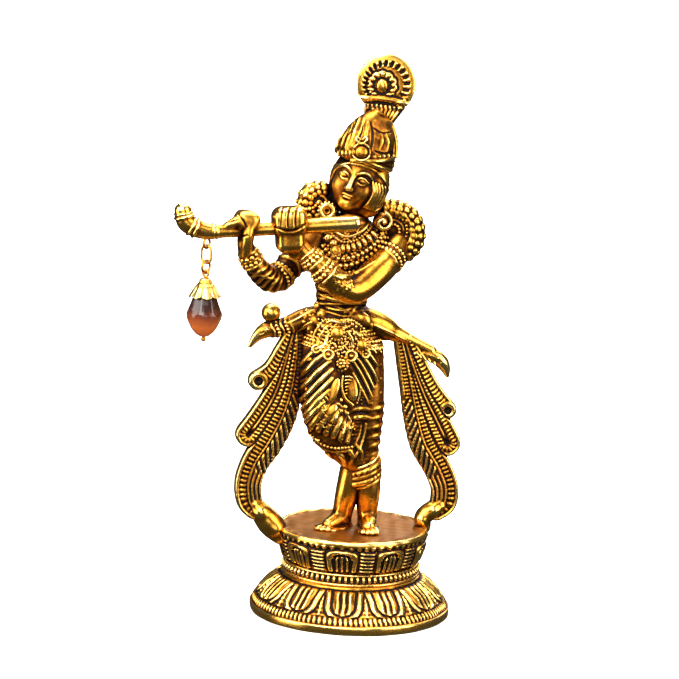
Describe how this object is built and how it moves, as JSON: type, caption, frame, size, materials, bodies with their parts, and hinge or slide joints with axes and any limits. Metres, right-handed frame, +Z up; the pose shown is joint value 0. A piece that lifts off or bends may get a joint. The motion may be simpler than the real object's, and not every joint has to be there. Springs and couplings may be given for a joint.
{
  "type": "hindu deity statue",
  "caption": "Cast statuette of a crossed-legged flute player between two peacocks on a round lotus pedestal, with a bead drop hung from the flute.",
  "frame": {"origin": "centre of the pedestal's underside", "axes": "+Z up, -Y the way the figure faces, +X towards the figure's left"},
  "size_m": [0.1084, 0.072, 0.2],
  "materials": {
    "antique_gold": "cast, gold plated, dark antique wash in the recesses",
    "polished_gold": "cast, gold plated, rubbed smooth",
    "brown_patina": "cast, brown patina, satin",
    "steel": "zinc plated",
    "gold_wire": "drawn wire, gold plated, dulled",
    "bead_cap_gold": "pressed, gold plated, dulled",
    "amber_glass": "amber to dark brown pressed glass, glossy"
  },
  "bodies": {
    "statue": {"pedestal_base": "antique_gold", "bead_ring": "antique_gold", "pedestal_bowl": "antique_gold", "foot_plate": "brown_patina", "fixing_screws": "steel", "fixing_washers": "steel", "right_leg": "antique_gold", "left_leg": "antique_gold", "hem_band": "antique_gold", "dhoti": "antique_gold", "front_sash": "antique_gold", "waist_belt": "antique_gold", "belt_buckle": "antique_gold", "torso": "antique_gold", "collar_necklace": "antique_gold", "long_necklace": "antique_gold", "right_arm": "polished_gold", "right_hand": "antique_gold", "right_bangle": "antique_gold", "left_arm": "polished_gold", "left_hand": "antique_gold", "left_bangle": "antique_gold", "head": "antique_gold", "hair": "antique_gold", "crown": "antique_gold", "crown_boss": "antique_gold", "plume": "antique_gold", "right_earring": "antique_gold", "left_earring": "antique_gold", "right_epaulette": "antique_gold", "left_epaulette": "antique_gold", "right_peacock": "antique_gold", "right_tail": "antique_gold", "right_tail_foot": "polished_gold", "left_peacock": "polished_gold", "left_tail": "antique_gold", "left_tail_foot": "polished_gold", "flute": "antique_gold", "eyelet": "gold_wire"},
    "link": {"link": "gold_wire"},
    "ring": {"ring": "gold_wire"},
    "drop": {"head_pin": "gold_wire", "bead_cap": "bead_cap_gold"},
    "bead": {"bead": "amber_glass"}
  },
  "joints": [
    {"name": "link_swing", "type": "hinge", "parent": "statue", "child": "link", "pos_m": [-0.0586, -0.016, 0.1329], "axis": [0.7071, 0.7071, 0], "range_deg": [-30, 45]},
    {"name": "ring_swing", "type": "hinge", "parent": "link", "child": "ring", "pos_m": [-0.0586, -0.016, 0.12765], "axis": [0.7071, -0.7071, 0], "range_deg": [-40, 25]},
    {"name": "drop_swing", "type": "hinge", "parent": "ring", "child": "drop", "pos_m": [-0.0586, -0.016, 0.1242], "axis": [0.7071, 0.7071, 0], "range_deg": [-30, 45]},
    {"name": "bead_spin", "type": "hinge", "parent": "drop", "child": "bead", "pos_m": [-0.0586, -0.016, 0.11], "axis": [0, 0, 1], "continuous": true}
  ]
}
